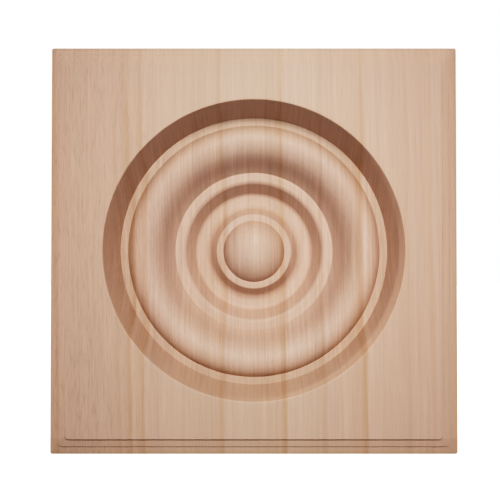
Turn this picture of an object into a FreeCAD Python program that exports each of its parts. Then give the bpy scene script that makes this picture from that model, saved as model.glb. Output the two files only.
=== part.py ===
# Corner rosette block: a square trim block of solid hardwood with a turned bull's-eye.
# It is machined lying on its back with the face up, then stood upright as it is fixed at
# the corner of a door or window casing: +Z up along the grain, face towards -Y, back on
# the plane Y = 0, origin at the centre of the back. All sizes are millimetres.
import FreeCAD, Part
import math
import os

Vector = FreeCAD.Vector

# The block: 3 1/2 in square and 1 in thick
block_side = 88.9
block_thickness = 25.4
block_corner_radius = 0.5

# Steps run round the face, each one lower and wider than the one inside it
edge_step_count = 2
edge_step_width = 1.7
edge_step_depth = 0.6
step_corner_radius = 0.9

# Turned members, from the rim of the recess inwards; the button takes the width that is left.
# The slopes of the torus, bowl, step and cove are all cut at one angle and run into rounds or hollows;
# the bowl is an ogee that eases off above and below that slope.
turned_slope = math.radians(60)
rim_radius = 32.9
wall_run = 2.7
wall_depth = 8.5
quirk_width = 1.7
shoulder_width = 3.3
shoulder_radius = 3.5
bowl_width = 7.0
bowl_radius = 4.6
bowl_flank_slope = math.radians(50)
bowl_flank_radius = 11.0
bowl_hollow_radius = 17.0
bowl_foot_slope = math.radians(51)
fillet_width = 1.6
step_width = 3.8
step_radius = 1.2
trough_width = 1.0
cove_width = 3.15
cove_radius = 2.15
collar_width = 1.55
crown_flat_radius = 1.1
button_height = 4.2

# Sanding takes the sharpness off every outer arris by this much
arris_chamfer = 0.2


def line(start, end):
    return Part.makeLine(start, end)


def arc(start, end, height):
    """Arc of the section that rises above its chord by the height, or hangs below it when that is negative."""
    chord = end - start
    upwards = Vector(-chord.z, 0, chord.x).normalize()
    if upwards.z < 0:
        upwards = -upwards
    return Part.Arc(start, (start + end) / 2 + upwards * height, end).toShape()


def bulge(radius, start, end):
    """How far an arc of this radius between these points stands off its chord."""
    return radius - math.sqrt(radius ** 2 - (end - start).Length ** 2 / 4)


def round_over(start, end, radius):
    return arc(start, end, bulge(radius, start, end))


def hollow(start, end, radius):
    return arc(start, end, -bulge(radius, start, end))


def bend(radius, gentle, steep):
    """Run and rise of a round or hollow between two slopes."""
    run = radius * (math.sin(steep) - math.sin(gentle))
    rise = radius * (math.cos(gentle) - math.cos(steep))
    return Vector(run, 0, rise)


def turn_away(radius):
    """Run and rise of a round or hollow between level and the turned slope."""
    return bend(radius, 0, turned_slope)


def straight_slope(run):
    return Vector(run, 0, run * math.tan(turned_slope))


def rising(run_and_rise):
    """The same run and rise taken inwards and up."""
    return Vector(-run_and_rise.x, 0, run_and_rise.z)


def falling(run_and_rise):
    """The same run and rise taken inwards and down."""
    return Vector(-run_and_rise.x, 0, -run_and_rise.z)


def stepped_plate(level):
    """Plate from the back to one level of the stepped edge: level 0 is the face itself."""
    inset = (edge_step_count - level) * edge_step_width
    side = block_side - 2 * inset
    top = block_thickness - level * edge_step_depth
    corner = Vector(-side / 2, -side / 2, 0)
    plate = Part.makeBox(side, side, top, corner)
    uprights = [edge for edge in plate.Edges if edge.BoundBox.ZLength > top / 2]
    outermost = level == edge_step_count
    plate = plate.makeFillet(block_corner_radius if outermost else step_corner_radius, uprights)
    top_arris = [edge for edge in plate.Edges if edge.BoundBox.ZMin > top / 2]
    return plate.makeChamfer(arris_chamfer, top_arris)


def stepped_blank():
    """Square block with the stepped edge and a plain flat back."""
    blank = stepped_plate(0)
    for level in range(1, edge_step_count + 1):
        blank = blank.fuse(stepped_plate(level))
    return blank.removeSplitter()


def turn_bullseye(blank):
    """Cut the turned members into the face, then ease their arrises."""
    shoulder_round = turn_away(shoulder_radius)
    bowl_round = bend(bowl_radius, 0, bowl_flank_slope)
    bowl_flank = bend(bowl_flank_radius, bowl_flank_slope, turned_slope)
    bowl_hollow = bend(bowl_hollow_radius, bowl_foot_slope, turned_slope)
    bowl_slope = straight_slope(bowl_width - bowl_round.x - bowl_flank.x - bowl_hollow.x)
    step_round = turn_away(step_radius)
    cove_hollow = turn_away(cove_radius)

    rim = Vector(rim_radius, 0, block_thickness)
    wall_foot = rim + Vector(-wall_run, 0, -wall_depth)
    torus_foot = wall_foot + Vector(-quirk_width, 0, 0)
    torus_waist = torus_foot + rising(straight_slope(shoulder_width - shoulder_round.x))
    torus_crest = torus_waist + rising(shoulder_round)
    bowl_shoulder = torus_crest + falling(bowl_round)
    bowl_waist = bowl_shoulder + falling(bowl_flank)
    bowl_low = bowl_waist + falling(bowl_slope)
    bowl_foot = bowl_low + falling(bowl_hollow)
    step_top = bowl_foot + Vector(-fillet_width, 0, 0)
    step_shoulder = step_top + falling(step_round)
    step_waist = step_shoulder + falling(straight_slope(step_width - 2 * step_round.x))
    step_foot = step_waist + falling(step_round)
    cove_foot = step_foot + Vector(-trough_width, 0, 0)
    cove_waist = cove_foot + rising(cove_hollow)
    collar_arris = cove_waist + rising(straight_slope(cove_width - cove_hollow.x))
    button_edge = collar_arris + Vector(-collar_width, 0, 0)
    crown = Vector(0, 0, button_edge.z + button_height)
    crown_edge = crown + Vector(crown_flat_radius, 0, 0)
    button_run = button_edge.x - crown_edge.x
    button_radius = (button_run ** 2 + button_height ** 2) / (2 * button_height)

    # The cutter carries the wall on above the face, so that it leaves no skin
    overshoot = rim + (rim - wall_foot)
    above_crown = Vector(0, 0, overshoot.z)
    section = Part.Wire([
        line(crown, crown_edge),
        round_over(crown_edge, button_edge, button_radius),
        line(button_edge, collar_arris),
        line(collar_arris, cove_waist),
        hollow(cove_waist, cove_foot, cove_radius),
        line(cove_foot, step_foot),
        hollow(step_foot, step_waist, step_radius),
        line(step_waist, step_shoulder),
        round_over(step_shoulder, step_top, step_radius),
        line(step_top, bowl_foot),
        hollow(bowl_foot, bowl_low, bowl_hollow_radius),
        line(bowl_low, bowl_waist),
        round_over(bowl_waist, bowl_shoulder, bowl_flank_radius),
        round_over(bowl_shoulder, torus_crest, bowl_radius),
        round_over(torus_crest, torus_waist, shoulder_radius),
        line(torus_waist, torus_foot),
        line(torus_foot, wall_foot),
        line(wall_foot, overshoot),
        line(overshoot, above_crown),
        line(above_crown, crown),
    ])
    cutter = Part.Face(section).revolve(Vector(0, 0, 0), Vector(0, 0, 1), 360)
    turned = blank.cut(cutter)
    sharp_rings = []
    for point in (rim, collar_arris):
        sharp_rings += rings_through(turned, point)
    return turned.makeChamfer(arris_chamfer, sharp_rings).Solids[0]


def rings_through(solid, point):
    """Round edges of the solid through a point of the section, met on the side without a seam."""
    probe = Part.Vertex(Vector(-point.x, 0, point.z))
    return [edge for edge in solid.Edges if edge.distToShape(probe)[0] < 1e-6]


def stand_upright(lying):
    """Turn the face from +Z to -Y, so that the block stands on its lower edge."""
    lying.rotate(Vector(0, 0, 0), Vector(1, 0, 0), 90)
    return lying


corner_block = stand_upright(turn_bullseye(stepped_blank()))

os.makedirs("parts", exist_ok=True)
corner_block.exportStep("parts/corner_block.step")
print("corner_block", corner_block.isValid(), corner_block.ShapeType, corner_block.Volume, corner_block.BoundBox)
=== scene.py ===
import math
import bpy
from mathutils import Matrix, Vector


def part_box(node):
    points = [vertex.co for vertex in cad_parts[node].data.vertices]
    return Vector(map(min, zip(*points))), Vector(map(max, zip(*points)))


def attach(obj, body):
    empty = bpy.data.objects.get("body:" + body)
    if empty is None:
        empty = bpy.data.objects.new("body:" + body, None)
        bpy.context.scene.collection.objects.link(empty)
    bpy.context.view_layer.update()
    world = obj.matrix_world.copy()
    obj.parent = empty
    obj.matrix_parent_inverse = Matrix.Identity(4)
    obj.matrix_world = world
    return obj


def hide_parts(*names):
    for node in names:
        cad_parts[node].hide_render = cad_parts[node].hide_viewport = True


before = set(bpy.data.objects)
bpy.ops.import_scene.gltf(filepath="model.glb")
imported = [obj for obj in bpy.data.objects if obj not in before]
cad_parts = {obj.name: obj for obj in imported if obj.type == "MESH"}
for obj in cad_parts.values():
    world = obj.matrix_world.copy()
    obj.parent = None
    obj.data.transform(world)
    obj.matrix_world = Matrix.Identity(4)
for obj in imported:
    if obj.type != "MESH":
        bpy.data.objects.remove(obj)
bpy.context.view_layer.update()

from types import SimpleNamespace

import bmesh
import bpy
from mathutils import Matrix, Vector

mm = 0.001
scene = bpy.context.scene

# The block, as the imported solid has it: face towards -Y, back on the plane Y = 0. Sizes are millimetres.
block_low, block_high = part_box("corner_block")
block_side = (block_high.x - block_low.x) / mm
block_thickness = (block_high.y - block_low.y) / mm
block_corner_radius = 0.5

# Steps round the face; each ledge falls a little outwards
edge_step_count = 2
edge_step_width = 1.7
edge_step_depth = 0.6
ledge_fall = 0.25
step_corner_radius = 0.9
face_side = block_side - 2 * edge_step_count * edge_step_width
outer_ledge_height = block_thickness - edge_step_count * edge_step_depth

# Turned members, from the rim of the recess inwards; the button takes the width that is left
turned_slope = math.radians(60)
rim_radius = 32.9
wall_run = 2.7
wall_depth = 8.5
quirk_width = 1.7
shoulder_width = 3.3
shoulder_radius = 3.5
bowl_width = 7.0
bowl_radius = 4.6
bowl_flank_slope = math.radians(50)
bowl_flank_radius = 11.0
bowl_hollow_radius = 17.0
bowl_foot_slope = math.radians(51)
fillet_width = 1.6
step_width = 3.8
step_radius = 1.2
trough_width = 1.0
cove_width = 3.15
cove_radius = 2.15
collar_width = 1.55
crown_flat_radius = 1.1
button_height = 4.2
button_radius = rim_radius - (
    wall_run + quirk_width + shoulder_width + bowl_width
    + fillet_width + step_width + trough_width + cove_width + collar_width
)

# Sanding eases the arrises
arris_ease = 0.2
arris_segments = 3

# Fineness of the mesh; a narrow land of the face round the rim is spun with the recess
corner_segments = 6
arc_segments = 14
turning_segments = 256
rim_land = 0.8
join_distance = 0.001
smooth_below = math.radians(38)


def add_object(name, data):
    added = bpy.data.objects.new(name, data)
    scene.collection.objects.link(added)
    return added


def round_off(bm, sharp, affect, radius, segments):
    """Round off sharp edges, or the sharp points of a section or outline."""
    bmesh.ops.bevel(
        bm, geom=sharp, offset=radius, offset_type="OFFSET",
        affect=affect, segments=segments, profile=0.5, material=-1,
    )


def draw_line(bm, tip, run, rise=0.0):
    """Grow the section from its tip: run is away from the axis, rise is out of the face."""
    grown = bmesh.ops.extrude_vert_indiv(bm, verts=[tip])["verts"][0]
    grown.co += Vector((run, -rise, 0))
    return grown


def draw_slope(bm, tip, run, heading):
    return draw_line(bm, tip, run, run * math.tan(heading))


def draw_arc(bm, tip, radius, start, end):
    """Grow an arc from the section's tip between two headings; upwards is positive."""
    side = math.copysign(radius, end - start)
    centre = tip.co + side * Vector((-math.sin(start), -math.cos(start), 0))
    swept = bmesh.ops.spin(
        bm, geom=[tip], cent=centre, axis=(0, 0, -1), angle=end - start,
        steps=arc_segments, use_merge=False,
    )
    return swept["geom_last"][0]


def turn_recess(bm):
    """Draw the turned section from the button's crown out to the rim, and spin it into the recess."""
    level, up, down = 0.0, turned_slope, -turned_slope
    sine = math.sin(turned_slope)
    cove_slope_run = cove_width - cove_radius * sine
    step_slope_run = step_width - 2 * step_radius * sine
    bowl_round_run = bowl_radius * math.sin(bowl_flank_slope)
    bowl_flank_run = bowl_flank_radius * (sine - math.sin(bowl_flank_slope))
    bowl_hollow_run = bowl_hollow_radius * (sine - math.sin(bowl_foot_slope))
    bowl_slope_run = bowl_width - bowl_round_run - bowl_flank_run - bowl_hollow_run
    shoulder_slope_run = shoulder_width - shoulder_radius * sine
    button_run = button_radius - crown_flat_radius
    button_edge_angle = 2 * math.atan(button_height / button_run)
    button_curve = button_run / math.sin(button_edge_angle)

    crown = bm.verts.new((0, 0, 0))
    crown_edge = draw_line(bm, crown, crown_flat_radius)
    button_edge = draw_arc(bm, crown_edge, button_curve, level, -button_edge_angle)
    collar_arris = draw_line(bm, button_edge, collar_width)
    cove_waist = draw_slope(bm, collar_arris, cove_slope_run, down)
    cove_foot = draw_arc(bm, cove_waist, cove_radius, down, level)
    step_foot = draw_line(bm, cove_foot, trough_width)
    step_waist = draw_arc(bm, step_foot, step_radius, level, up)
    step_shoulder = draw_slope(bm, step_waist, step_slope_run, up)
    step_top = draw_arc(bm, step_shoulder, step_radius, up, level)
    bowl_foot = draw_line(bm, step_top, fillet_width)
    bowl_low = draw_arc(bm, bowl_foot, bowl_hollow_radius, bowl_foot_slope, up)
    bowl_waist = draw_slope(bm, bowl_low, bowl_slope_run, up)
    bowl_shoulder = draw_arc(bm, bowl_waist, bowl_flank_radius, up, bowl_flank_slope)
    torus_crest = draw_arc(bm, bowl_shoulder, bowl_radius, bowl_flank_slope, level)
    torus_waist = draw_arc(bm, torus_crest, shoulder_radius, level, down)
    torus_foot = draw_slope(bm, torus_waist, shoulder_slope_run, down)
    wall_foot = draw_line(bm, torus_foot, quirk_width)
    rim_arris = draw_line(bm, wall_foot, wall_run, wall_depth)
    to_face = Vector((0, -block_thickness - rim_arris.co.y, 0))
    draw_line(bm, rim_arris, rim_land)
    bmesh.ops.translate(bm, vec=to_face, verts=bm.verts)

    round_off(bm, [collar_arris, rim_arris], "VERTICES", arris_ease, arris_segments)
    bmesh.ops.spin(
        bm, geom=bm.verts[:] + bm.edges[:], cent=(0, 0, 0), axis=(0, 1, 0), angle=math.tau,
        steps=turning_segments, use_merge=True,
    )
    bmesh.ops.remove_doubles(bm, verts=bm.verts, dist=join_distance)


def lay_outline(bm, side, corner_radius, height):
    """Square with rounded corners, at one height above the back."""
    before = set(bm.faces)
    upright = Matrix.Translation((0, -height, 0)) @ Matrix.Rotation(math.radians(90), 4, "X")
    square = bmesh.ops.create_grid(bm, x_segments=1, y_segments=1, size=side / 2, matrix=upright)
    round_off(bm, square["verts"], "VERTICES", corner_radius, corner_segments)
    return next(face for face in bm.faces if face not in before)


def step_edges(bm):
    """Back, sides and stepped edge, from the back up to the outline of the face."""
    lower = lay_outline(bm, block_side, block_corner_radius, 0)
    lower_edges = lower.edges[:]
    arrises = []
    for level in range(edge_step_count, -1, -1):
        height = block_thickness - level * edge_step_depth
        top_side = block_side - 2 * (edge_step_count - level) * edge_step_width
        radius = block_corner_radius if level == edge_step_count else step_corner_radius
        fall = ledge_fall if level else 0
        upper = lay_outline(bm, top_side, radius, height - fall)
        upper_edges = upper.edges[:]
        bmesh.ops.delete(bm, geom=[upper], context="FACES_ONLY")
        bmesh.ops.bridge_loops(bm, edges=lower_edges + upper_edges)
        arrises += upper_edges
        if level:
            inner = lay_outline(bm, top_side - 2 * edge_step_width, step_corner_radius, height)
            lower_edges = inner.edges[:]
            bmesh.ops.delete(bm, geom=[inner], context="FACES_ONLY")
            bmesh.ops.bridge_loops(bm, edges=upper_edges + lower_edges)
    return arrises


def make_block():
    """The whole block as one closed mesh."""
    bm = bmesh.new()
    turn_recess(bm)
    arrises = step_edges(bm)
    open_edges = [edge for edge in bm.edges if edge.is_boundary]
    bmesh.ops.triangle_fill(
        bm, edges=open_edges, use_beauty=True, use_dissolve=False, normal=(0, -1, 0)
    )
    bmesh.ops.recalc_face_normals(bm, faces=bm.faces)
    round_off(bm, arrises, "EDGES", arris_ease, arris_segments)
    bmesh.ops.recalc_face_normals(bm, faces=bm.faces)
    bmesh.ops.scale(bm, vec=(mm, mm, mm), verts=bm.verts)
    for face in bm.faces:
        face.smooth = True
    mesh = bpy.data.meshes.new("rosette_block")
    bm.to_mesh(mesh)
    bm.free()
    mesh.set_sharp_from_angle(angle=smooth_below)
    made = add_object("rosette_block", mesh)
    made.modifiers.new("flat faces stay flat", "WEIGHTED_NORMAL").keep_sharp = True
    return made


# Bare hardwood with the grain upright; colours are linear
early_wood = (0.62, 0.462, 0.37, 1)
late_wood = (0.55, 0.38, 0.27, 1)

# Where each year's growth ends across the face, and how strongly its line shows. The rings stand
# nearly square to the face, so the lines run straight on through the turning.
growth_lines = (
    (-42.9, 0.6), (-29.4, 0.4), (-26.9, 0.8), (-24.1, 0.75), (-6.9, 0.8),
    (6.7, 1.0), (15.4, 0.45), (24.3, 1.0), (33.8, 0.35), (39.0, 0.4),
)
growth_line_width = 1.5
growth_line_fade = 0.25
late_before_line = 0.3
lines_fade_above = 20
lines_at_top = 0.45
grain_lean = math.radians(0.75)
grain_wander = 0.3
ring_curve = -0.002

# Noise in the wood, by its size across the face, into it and up the grain
wander_size = (30, 200, 30)
band_size = (7, 100, 160)
fibre_size = (0.8, 30, 50)
side_fibre_size = (30, 0.8, 50)
thread_size = (0.28, 25, 14)
pore_size = (0.28, 0.28, 3)
hole_size = (0.35, 0.35, 3)
noise_roughness = 0.6
noise_middle = 0.5

# Where in the noise each thing starts, and where it is full
band_range = (0.3, 0.7)
fibre_range = (0.25, 0.75)
pore_range = (0.48, 0.7)
hole_range = (0.58, 0.7)
worn_thread_range = (0.2, 0.6)

# How far the figure and the pores shade the wood. The cutter opens the fibres of the turned
# members, so both are stronger there, and the face's pores are deepest towards the left.
band_shade = (0.985, 1.015)
figure_on_face = 0.22
figure_in_turning = 0.36
fibre_share = 0.72
figure_on_sides = 0.2
pore_depth = 0.025
left_pore_depth = 0.11
left_pores_from = 0.3
turning_pore_depth = 0.035
end_grain_pore_depth = 0.12

# Tints: slow change from side to side; a paler, bluer cast inside the quirk, painted light for the
# sheen and the less saturated shade of the turning; cut ends of the grain; painted shade on the lower
# ledges; worn arrises; and painted shade in the quirk and up the torus. Those of the turning stop
# short of the back, which is plain.
left_tint = (0.97, 0.93, 0.93, 1)
right_tint = (1.04, 1.0, 1.0, 1)
# Painted light inside the quirk: a paler, bluer cast for the sheen and the less saturated shade
inner_sheen_and_shade_tint = (1.015, 1.025, 1.06, 1)
end_grain_tint = (0.88, 0.82, 0.76, 1)
end_grain_from = 0.96
# Painted shade on the lower ledges, which lie below the face's edge with the light from above
lower_ledge_shade_tint = (0.945, 0.94, 0.92, 1)
worn_edge_tint = (0.95, 0.91, 0.82, 1)
# Width of the worn band along the arrises, and of the painted shade at the front of the lower ledges
wear_and_shade_width = 1.0
# Painted shade in the quirk and up the torus, where the wall and the torus shut out light
quirk_shade_tint = (0.92, 0.95, 0.96, 1)
quirk_shade_reach = 2.5
plain_back = 4.0

# Gloss and relief of the sanded surface
fibre_roughness = (0.62, 0.54)
end_grain_rougher = 0.1
worn_smoother = 0.08
wood_specular = 0.3
relief_height = 0.02
relief_strength = 0.4

# Sockets by which the mix node takes and gives colours; its other kinds have the same names
mix_share, mix_first, mix_second, mix_result = 0, 6, 7, 2


def add_node(tree, kind, inputs=None, **settings):
    """Place a shader node; an input is a value or another node's output."""
    node = tree.nodes.new(kind)
    for name, value in settings.items():
        setattr(node, name, value)
    for name, value in (inputs or {}).items():
        if isinstance(value, bpy.types.NodeSocket):
            tree.links.new(value, node.inputs[name])
        else:
            node.inputs[name].default_value = value
    return node


def calculate(tree, operation, first, second=0.0, third=0.0):
    """One sum on values that change over the surface."""
    terms = {0: first, 1: second, 2: third}
    return add_node(tree, "ShaderNodeMath", terms, operation=operation).outputs["Value"]


def ramp_between(tree, value, low, high, start=0.0, end=1.0, kind="SMOOTHSTEP"):
    """Change from start to end as a value goes from low to high, eased at both ends unless linear."""
    inputs = {"Value": value, "From Min": low, "From Max": high, "To Min": start, "To Max": end}
    return add_node(tree, "ShaderNodeMapRange", inputs, interpolation_type=kind).outputs["Result"]


def split_axes(tree, vector):
    return add_node(tree, "ShaderNodeSeparateXYZ", {"Vector": vector}).outputs


def mix_colours(tree, share, first, second, blend_type="MIX"):
    """Blend two colours by a share of the second."""
    inputs = {mix_share: share, mix_first: first, mix_second: second}
    mix = add_node(tree, "ShaderNodeMix", inputs, data_type="RGBA", blend_type=blend_type)
    return mix.outputs[mix_result]


def tint_where(tree, mask, colour, tint):
    """Multiply the colour by a tint where the mask is 1."""
    tinted = mix_colours(tree, 1.0, colour, tint, "MULTIPLY")
    return mix_colours(tree, mask, colour, tinted)


def streaks(tree, along_grain, size, detail):
    """Noise stretched to its size across the face, into it and up the grain."""
    scale = [1 / length for length in size]
    stretched = add_node(tree, "ShaderNodeMapping", {"Vector": along_grain, "Scale": scale})
    inputs = {
        "Vector": stretched.outputs["Vector"],
        "Scale": 1.0,
        "Detail": detail,
        "Roughness": noise_roughness,
    }
    return add_node(tree, "ShaderNodeTexNoise", inputs).outputs["Fac"]


def grey(value):
    return (value, value, value, 1)


def find_places(tree):
    """A point's place on the block in millimetres, and how far it belongs to each part of the block."""
    half_side = block_side / 2
    wall_foot = rim_radius - wall_run
    torus_foot = wall_foot - quirk_width
    coordinates = add_node(tree, "ShaderNodeTexCoord").outputs
    to_mm = {"Vector": coordinates["Object"], "Scale": (1 / mm,) * 3}
    on_block = add_node(tree, "ShaderNodeMapping", to_mm).outputs["Vector"]
    to_grain = {"Vector": on_block, "Rotation": (0, grain_lean, 0)}
    along_grain = add_node(tree, "ShaderNodeMapping", to_grain).outputs["Vector"]
    x, y, z = split_axes(tree, on_block)
    facing_ends = calculate(tree, "ABSOLUTE", split_axes(tree, coordinates["Normal"])["Z"])
    sideways = calculate(tree, "ABSOLUTE", x)
    from_axis = calculate(tree, "MULTIPLY_ADD", x, x, calculate(tree, "MULTIPLY", z, z))
    from_axis = calculate(tree, "SQRT", from_axis)

    off_back = calculate(tree, "LESS_THAN", y, -plain_back)
    inside_rim = ramp_between(tree, from_axis, wall_foot, rim_radius, 1.0, 0.0)
    inside_wall = ramp_between(tree, from_axis, wall_foot, wall_foot + arris_ease, 1.0, 0.0)
    # The painted shade of the quirk reaches this far up the torus
    clear_of_quirk_shade = ramp_between(tree, from_axis, torus_foot - quirk_shade_reach, torus_foot, 1.0, 0.0)
    inside_quirk = calculate(tree, "MULTIPLY", clear_of_quirk_shade, off_back)
    in_recess = calculate(tree, "MULTIPLY", inside_wall, off_back)
    return SimpleNamespace(
        along_grain=along_grain,
        x=x,
        y=y,
        z=z,
        towards_left=ramp_between(tree, x, -half_side, 0, 1.0, 0.0),
        towards_right=ramp_between(tree, x, 0, half_side),
        on_sides=ramp_between(tree, sideways, half_side - 2 * arris_ease, half_side - arris_ease),
        on_end_grain=ramp_between(tree, facing_ends, end_grain_from, 1.0),
        in_turning=calculate(tree, "MULTIPLY", inside_rim, off_back),
        inside_quirk=inside_quirk,
        in_quirk_shade=calculate(tree, "SUBTRACT", in_recess, inside_quirk),
    )


def lower_ledges(tree, place):
    """The ledges below the face, down to the lower arris at the front: the place of their painted shade."""
    front = ledge_fall - outer_ledge_height
    below_face = ramp_between(tree, place.z, -face_side / 2, arris_ease - face_side / 2, 1.0, 0.0)
    at_front = ramp_between(tree, place.y, front, front + wear_and_shade_width, 1.0, 0.0)
    return calculate(tree, "MULTIPLY", below_face, at_front)


def outer_arrises(tree, place):
    """All twelve outer arrises, each where two sides of the block meet."""
    half_height = outer_ledge_height / 2
    off_middle = calculate(tree, "ADD", place.y, half_height)
    near = []
    for offset, half in (
        (place.x, block_side / 2),
        (place.z, block_side / 2),
        (off_middle, half_height),
    ):
        distance = calculate(tree, "ABSOLUTE", offset)
        near.append(ramp_between(tree, distance, half - wear_and_shade_width, half))
    at_side, at_end, at_front_or_back = near
    at_arris = calculate(tree, "MULTIPLY", at_side, at_end)
    for side in (at_side, at_end):
        meeting = calculate(tree, "MULTIPLY", side, at_front_or_back)
        at_arris = calculate(tree, "MAXIMUM", at_arris, meeting)
    return at_arris


def year_rings(tree, across):
    """How late in its year the wood grew: rises a little towards each line, peaks there and falls back."""
    half_side = block_side / 2
    from_left = ramp_between(tree, across, -half_side, half_side, kind="LINEAR")
    ramp = add_node(tree, "ShaderNodeValToRGB", {"Fac": from_left})
    stops = ramp.color_ramp.elements
    stops[0].color = grey(0)
    stops[1].color = grey(late_before_line)
    for line, strength in growth_lines:
        for offset, late in (
            (-growth_line_width, late_before_line * strength),
            (-growth_line_fade, strength),
            (growth_line_fade, 0.0),
        ):
            stops.new((line + offset + half_side) / block_side).color = grey(late)
    return ramp.outputs["Color"]


def late_growth(tree, place):
    """Growth rings, a little wavy along the grain, bent in the block's depth and fading upwards."""
    wander = streaks(tree, place.along_grain, wander_size, detail=1)
    across = split_axes(tree, place.along_grain)["X"]
    across = calculate(tree, "MULTIPLY_ADD", wander, 2 * grain_wander, across)
    across = calculate(tree, "SUBTRACT", across, grain_wander)
    depth = calculate(tree, "ADD", place.y, block_thickness)
    depth_squared = calculate(tree, "MULTIPLY", depth, depth)
    across = calculate(tree, "MULTIPLY_ADD", depth_squared, ring_curve, across)
    fading = ramp_between(tree, place.z, lines_fade_above, block_side / 2, 1.0, lines_at_top)
    return calculate(tree, "MULTIPLY", year_rings(tree, across), fading)


def shade_figure(tree, place, figure):
    """Shade from broad bands and the figure, and from the sides' own fibres."""
    bands = streaks(tree, place.along_grain, band_size, detail=1)
    bands = ramp_between(tree, bands, *band_range, *band_shade)
    strength = ramp_between(tree, place.in_turning, 0.0, 1.0, figure_on_face, figure_in_turning)
    shade = calculate(tree, "MULTIPLY_ADD", figure, strength, bands)
    side_figure = streaks(tree, place.along_grain, side_fibre_size, detail=3)
    side_figure = calculate(tree, "SUBTRACT", side_figure, noise_middle)
    side_figure = calculate(tree, "MULTIPLY", side_figure, place.on_sides)
    return calculate(tree, "MULTIPLY_ADD", side_figure, figure_on_sides, shade)


def shade_pores(tree, place, shade):
    """Darken the shade in the pores, which are short lines up the grain."""
    pores = streaks(tree, place.along_grain, pore_size, detail=2)
    pores = ramp_between(tree, pores, *pore_range)
    darker = ramp_between(
        tree, place.towards_left, left_pores_from, 1.0, -pore_depth, -left_pore_depth
    )
    darker = calculate(tree, "MULTIPLY_ADD", place.in_turning, -turning_pore_depth, darker)
    return calculate(tree, "MULTIPLY_ADD", pores, darker, shade)


def make_hardwood():
    """The block's wood: its figure first, then its colour, gloss and relief."""
    wood = bpy.data.materials.new("hardwood")
    wood.use_nodes = True
    tree = wood.node_tree
    surface = tree.nodes["Principled BSDF"]
    place = find_places(tree)

    # Fibres and threads run on through the depth; pores are cut across on the ends, as round holes
    fibres = streaks(tree, place.along_grain, fibre_size, detail=3)
    threads = streaks(tree, place.along_grain, thread_size, detail=2)
    figure = calculate(tree, "MULTIPLY_ADD", fibres, fibre_share, threads)
    figure = calculate(tree, "SUBTRACT", figure, noise_middle * (1 + fibre_share))
    holes = streaks(tree, place.along_grain, hole_size, detail=1)
    holes = calculate(tree, "MULTIPLY", ramp_between(tree, holes, *hole_range), place.on_end_grain)
    worn_threads = ramp_between(tree, threads, *worn_thread_range)
    worn = calculate(tree, "MULTIPLY", outer_arrises(tree, place), worn_threads)

    colour = mix_colours(tree, late_growth(tree, place), early_wood, late_wood)
    shade = shade_pores(tree, place, shade_figure(tree, place, figure))
    shade = calculate(tree, "MULTIPLY_ADD", holes, -end_grain_pore_depth, shade)
    shaded = add_node(tree, "ShaderNodeVectorMath", {0: colour, 1: shade}, operation="MULTIPLY")
    colour = shaded.outputs["Vector"]
    for mask, tint in (
        (place.towards_left, left_tint),
        (place.towards_right, right_tint),
        # painted sheen and shade colour inside the quirk
        (place.inside_quirk, inner_sheen_and_shade_tint),
        (place.on_end_grain, end_grain_tint),
        # painted shade on the lower ledges
        (lower_ledges(tree, place), lower_ledge_shade_tint),
        (worn, worn_edge_tint),
        # painted shade in the quirk and up the torus
        (place.in_quirk_shade, quirk_shade_tint),
    ):
        colour = tint_where(tree, mask, colour, tint)
    tree.links.new(colour, surface.inputs["Base Color"])

    roughness = ramp_between(tree, fibres, *fibre_range, *fibre_roughness)
    roughness = calculate(tree, "MULTIPLY_ADD", place.on_end_grain, end_grain_rougher, roughness)
    roughness = calculate(tree, "MULTIPLY_ADD", worn, -worn_smoother, roughness)
    tree.links.new(roughness, surface.inputs["Roughness"])
    surface.inputs["Specular IOR Level"].default_value = wood_specular
    relief = {
        "Height": calculate(tree, "ADD", figure, holes),
        "Distance": relief_height * mm,
        "Strength": relief_strength,
    }
    bump = add_node(tree, "ShaderNodeBump", relief)
    tree.links.new(bump.outputs["Normal"], surface.inputs["Normal"])
    return wood


block = make_block()
block.data.materials.append(make_hardwood())
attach(block, "root")
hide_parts("corner_block")

# Camera, from where the block sits in the photograph. Lengths from here on are metres, apart from
# the camera's sensor and lens, which are millimetres.
frame_px = 500
block_width_px = 406.6
block_centre_px = (253.9, 250.17)
camera_distance = 2.2 * block_side * mm
camera_tilt = math.radians(1.2)
camera_near = 0.01
sensor_width = 36
focus = Vector((0, -outer_ledge_height * mm, (block_low.z + block_high.z) / 2))


def direction(azimuth, elevation):
    """Way from the block to a camera or light: azimuth 0 is straight out of the face, right is positive."""
    level = math.cos(elevation)
    return Vector((math.sin(azimuth) * level, -math.cos(azimuth) * level, math.sin(elevation)))


def set_up_camera():
    camera = add_object("camera", bpy.data.cameras.new("camera"))
    camera.data.sensor_width = sensor_width
    camera.data.lens = sensor_width * block_width_px / frame_px * camera_distance / (block_side * mm)
    camera.data.shift_x = (frame_px / 2 - block_centre_px[0]) / frame_px
    camera.data.shift_y = (block_centre_px[1] - frame_px / 2) / frame_px
    camera.data.clip_start = camera_near
    camera.location = focus + camera_distance * direction(0, -camera_tilt)
    camera.rotation_euler = (math.radians(90) + camera_tilt, 0, 0)
    return camera


scene.camera = set_up_camera()

# Key light: one large soft light above the camera, aimed a little below the middle of the block
light_distance = 4.0 * block_side * mm
key_elevation = math.radians(23)
key_azimuth = math.radians(2.5)
key_size = 1.2 * block_side * mm
key_spread = math.radians(45)
key_aim_below = 3 * mm
key_power = 0.082

# Side light: a weak one from the upper left, which grazes the face and reaches the top of the wall
# across the recess
side_azimuth = math.radians(-86.9)
side_elevation = math.radians(30)
side_softness = math.radians(1.3)
side_strength = 0.5


def hang_light(name, kind, location, aim):
    light = add_object(name, bpy.data.lights.new(name, kind))
    light.location = location
    light.rotation_euler = (location - aim).to_track_quat("Z", "Y").to_euler()
    return light.data


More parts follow.
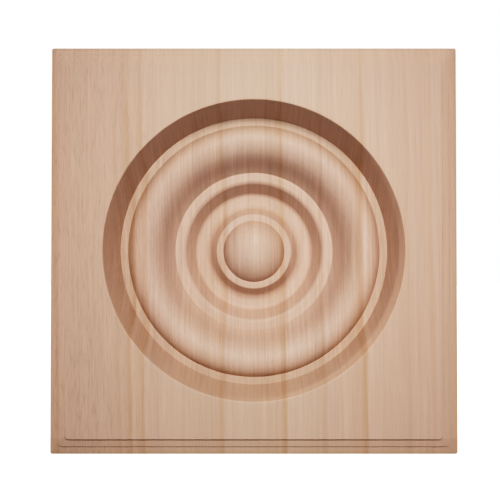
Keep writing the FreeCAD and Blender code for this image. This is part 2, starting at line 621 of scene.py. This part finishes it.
def hang_lights():
    key_place = focus + light_distance * direction(key_azimuth, key_elevation)
    key = hang_light("key light", "AREA", key_place, focus - Vector((0, 0, key_aim_below)))
    key.shape = "DISK"
    key.size = key_size
    key.spread = key_spread
    key.energy = key_power
    side_place = focus + light_distance * direction(side_azimuth, side_elevation)
    side = hang_light("side light", "SUN", side_place, focus)
    side.angle = side_softness
    side.energy = side_strength


hang_lights()

# Surroundings: white to the camera, and a dimmer soft fill for the block, weakest from straight ahead and
# from above. Behind the block the fill is stronger, so that the sides and back are lit and the face isn't.
white = (1, 1, 1, 1)
white_strength = 1.5
fill_strength = 0.355
fill_colour = (0.97, 1, 1.06, 1)
fill_front_dimming = 0.5
fill_side_dimming = 0.2
fill_from_below = 0.5
back_light = 1.9
back_light_dimming = 1.5
back_light_edge = 0.1


def surround_with_white():
    world = bpy.data.worlds.new("white surroundings")
    world.use_nodes = True
    sky = world.node_tree
    background = sky.nodes["Background"]
    seen = add_node(sky, "ShaderNodeLightPath").outputs["Is Camera Ray"]
    x, y, z = split_axes(sky, add_node(sky, "ShaderNodeTexCoord").outputs["Generated"])
    fill = calculate(sky, "MULTIPLY_ADD", calculate(sky, "MULTIPLY", x, x), -fill_side_dimming, 1.0)
    fill = calculate(sky, "MULTIPLY_ADD", calculate(sky, "MULTIPLY", y, y), -fill_front_dimming, fill)
    fill = calculate(sky, "MULTIPLY_ADD", z, -fill_from_below, fill)
    fill = calculate(sky, "MULTIPLY", fill, fill_strength)
    behind = calculate(sky, "MULTIPLY_ADD", y, -back_light_dimming, back_light)
    lighting = ramp_between(sky, y, 0.0, back_light_edge, fill, behind, kind="LINEAR")
    strength = ramp_between(sky, seen, 0.0, 1.0, lighting, white_strength, kind="LINEAR")
    sky.links.new(mix_colours(sky, seen, fill_colour, white), background.inputs["Color"])
    sky.links.new(strength, background.inputs["Strength"])
    return world


scene.world = surround_with_white()

# Pale floor under the block, as white to the camera as the surroundings; it doesn't light the block
floor_half_side = 2.0
floor_colour = (0.9, 0.9, 0.9, 1)
floor_glow = 1.3


def lay_floor():
    bm = bmesh.new()
    under_block = Matrix.Translation((0, 0, block_low.z))
    bmesh.ops.create_grid(bm, x_segments=1, y_segments=1, size=floor_half_side, matrix=under_block)
    laid = add_object("floor", bpy.data.meshes.new("floor"))
    bm.to_mesh(laid.data)
    bm.free()
    laid.visible_diffuse = False
    laid.visible_glossy = False
    laid.visible_shadow = False
    paint = bpy.data.materials.new("pale floor")
    paint.use_nodes = True
    surface = paint.node_tree.nodes["Principled BSDF"]
    surface.inputs["Base Color"].default_value = floor_colour
    surface.inputs["Specular IOR Level"].default_value = 0.0
    surface.inputs["Emission Color"].default_value = white
    surface.inputs["Emission Strength"].default_value = floor_glow
    laid.data.materials.append(paint)
    return laid


floor = lay_floor()

# Tone: a soft S curve, as a camera gives, that ends at the white of the surroundings
tone_exponent = 2.4
tone_middle = 0.513
tone_shoulder = 1.0
tone_points = 24
all_channels = 3


def tone(light):
    return light ** tone_exponent / (light ** tone_exponent + tone_middle ** tone_exponent)


def set_tone(view):
    view.view_transform = "Standard"
    view.look = "None"
    view.use_curve_mapping = True
    mapping = view.curve_mapping
    mapping.white_level = (white_strength,) * 3
    for step in range(1, tone_points + 1):
        light = tone_shoulder * (step / tone_points) ** 2
        mapping.curves[all_channels].points.new(light / white_strength, tone(light))
    mapping.update()


set_tone(scene.view_settings)
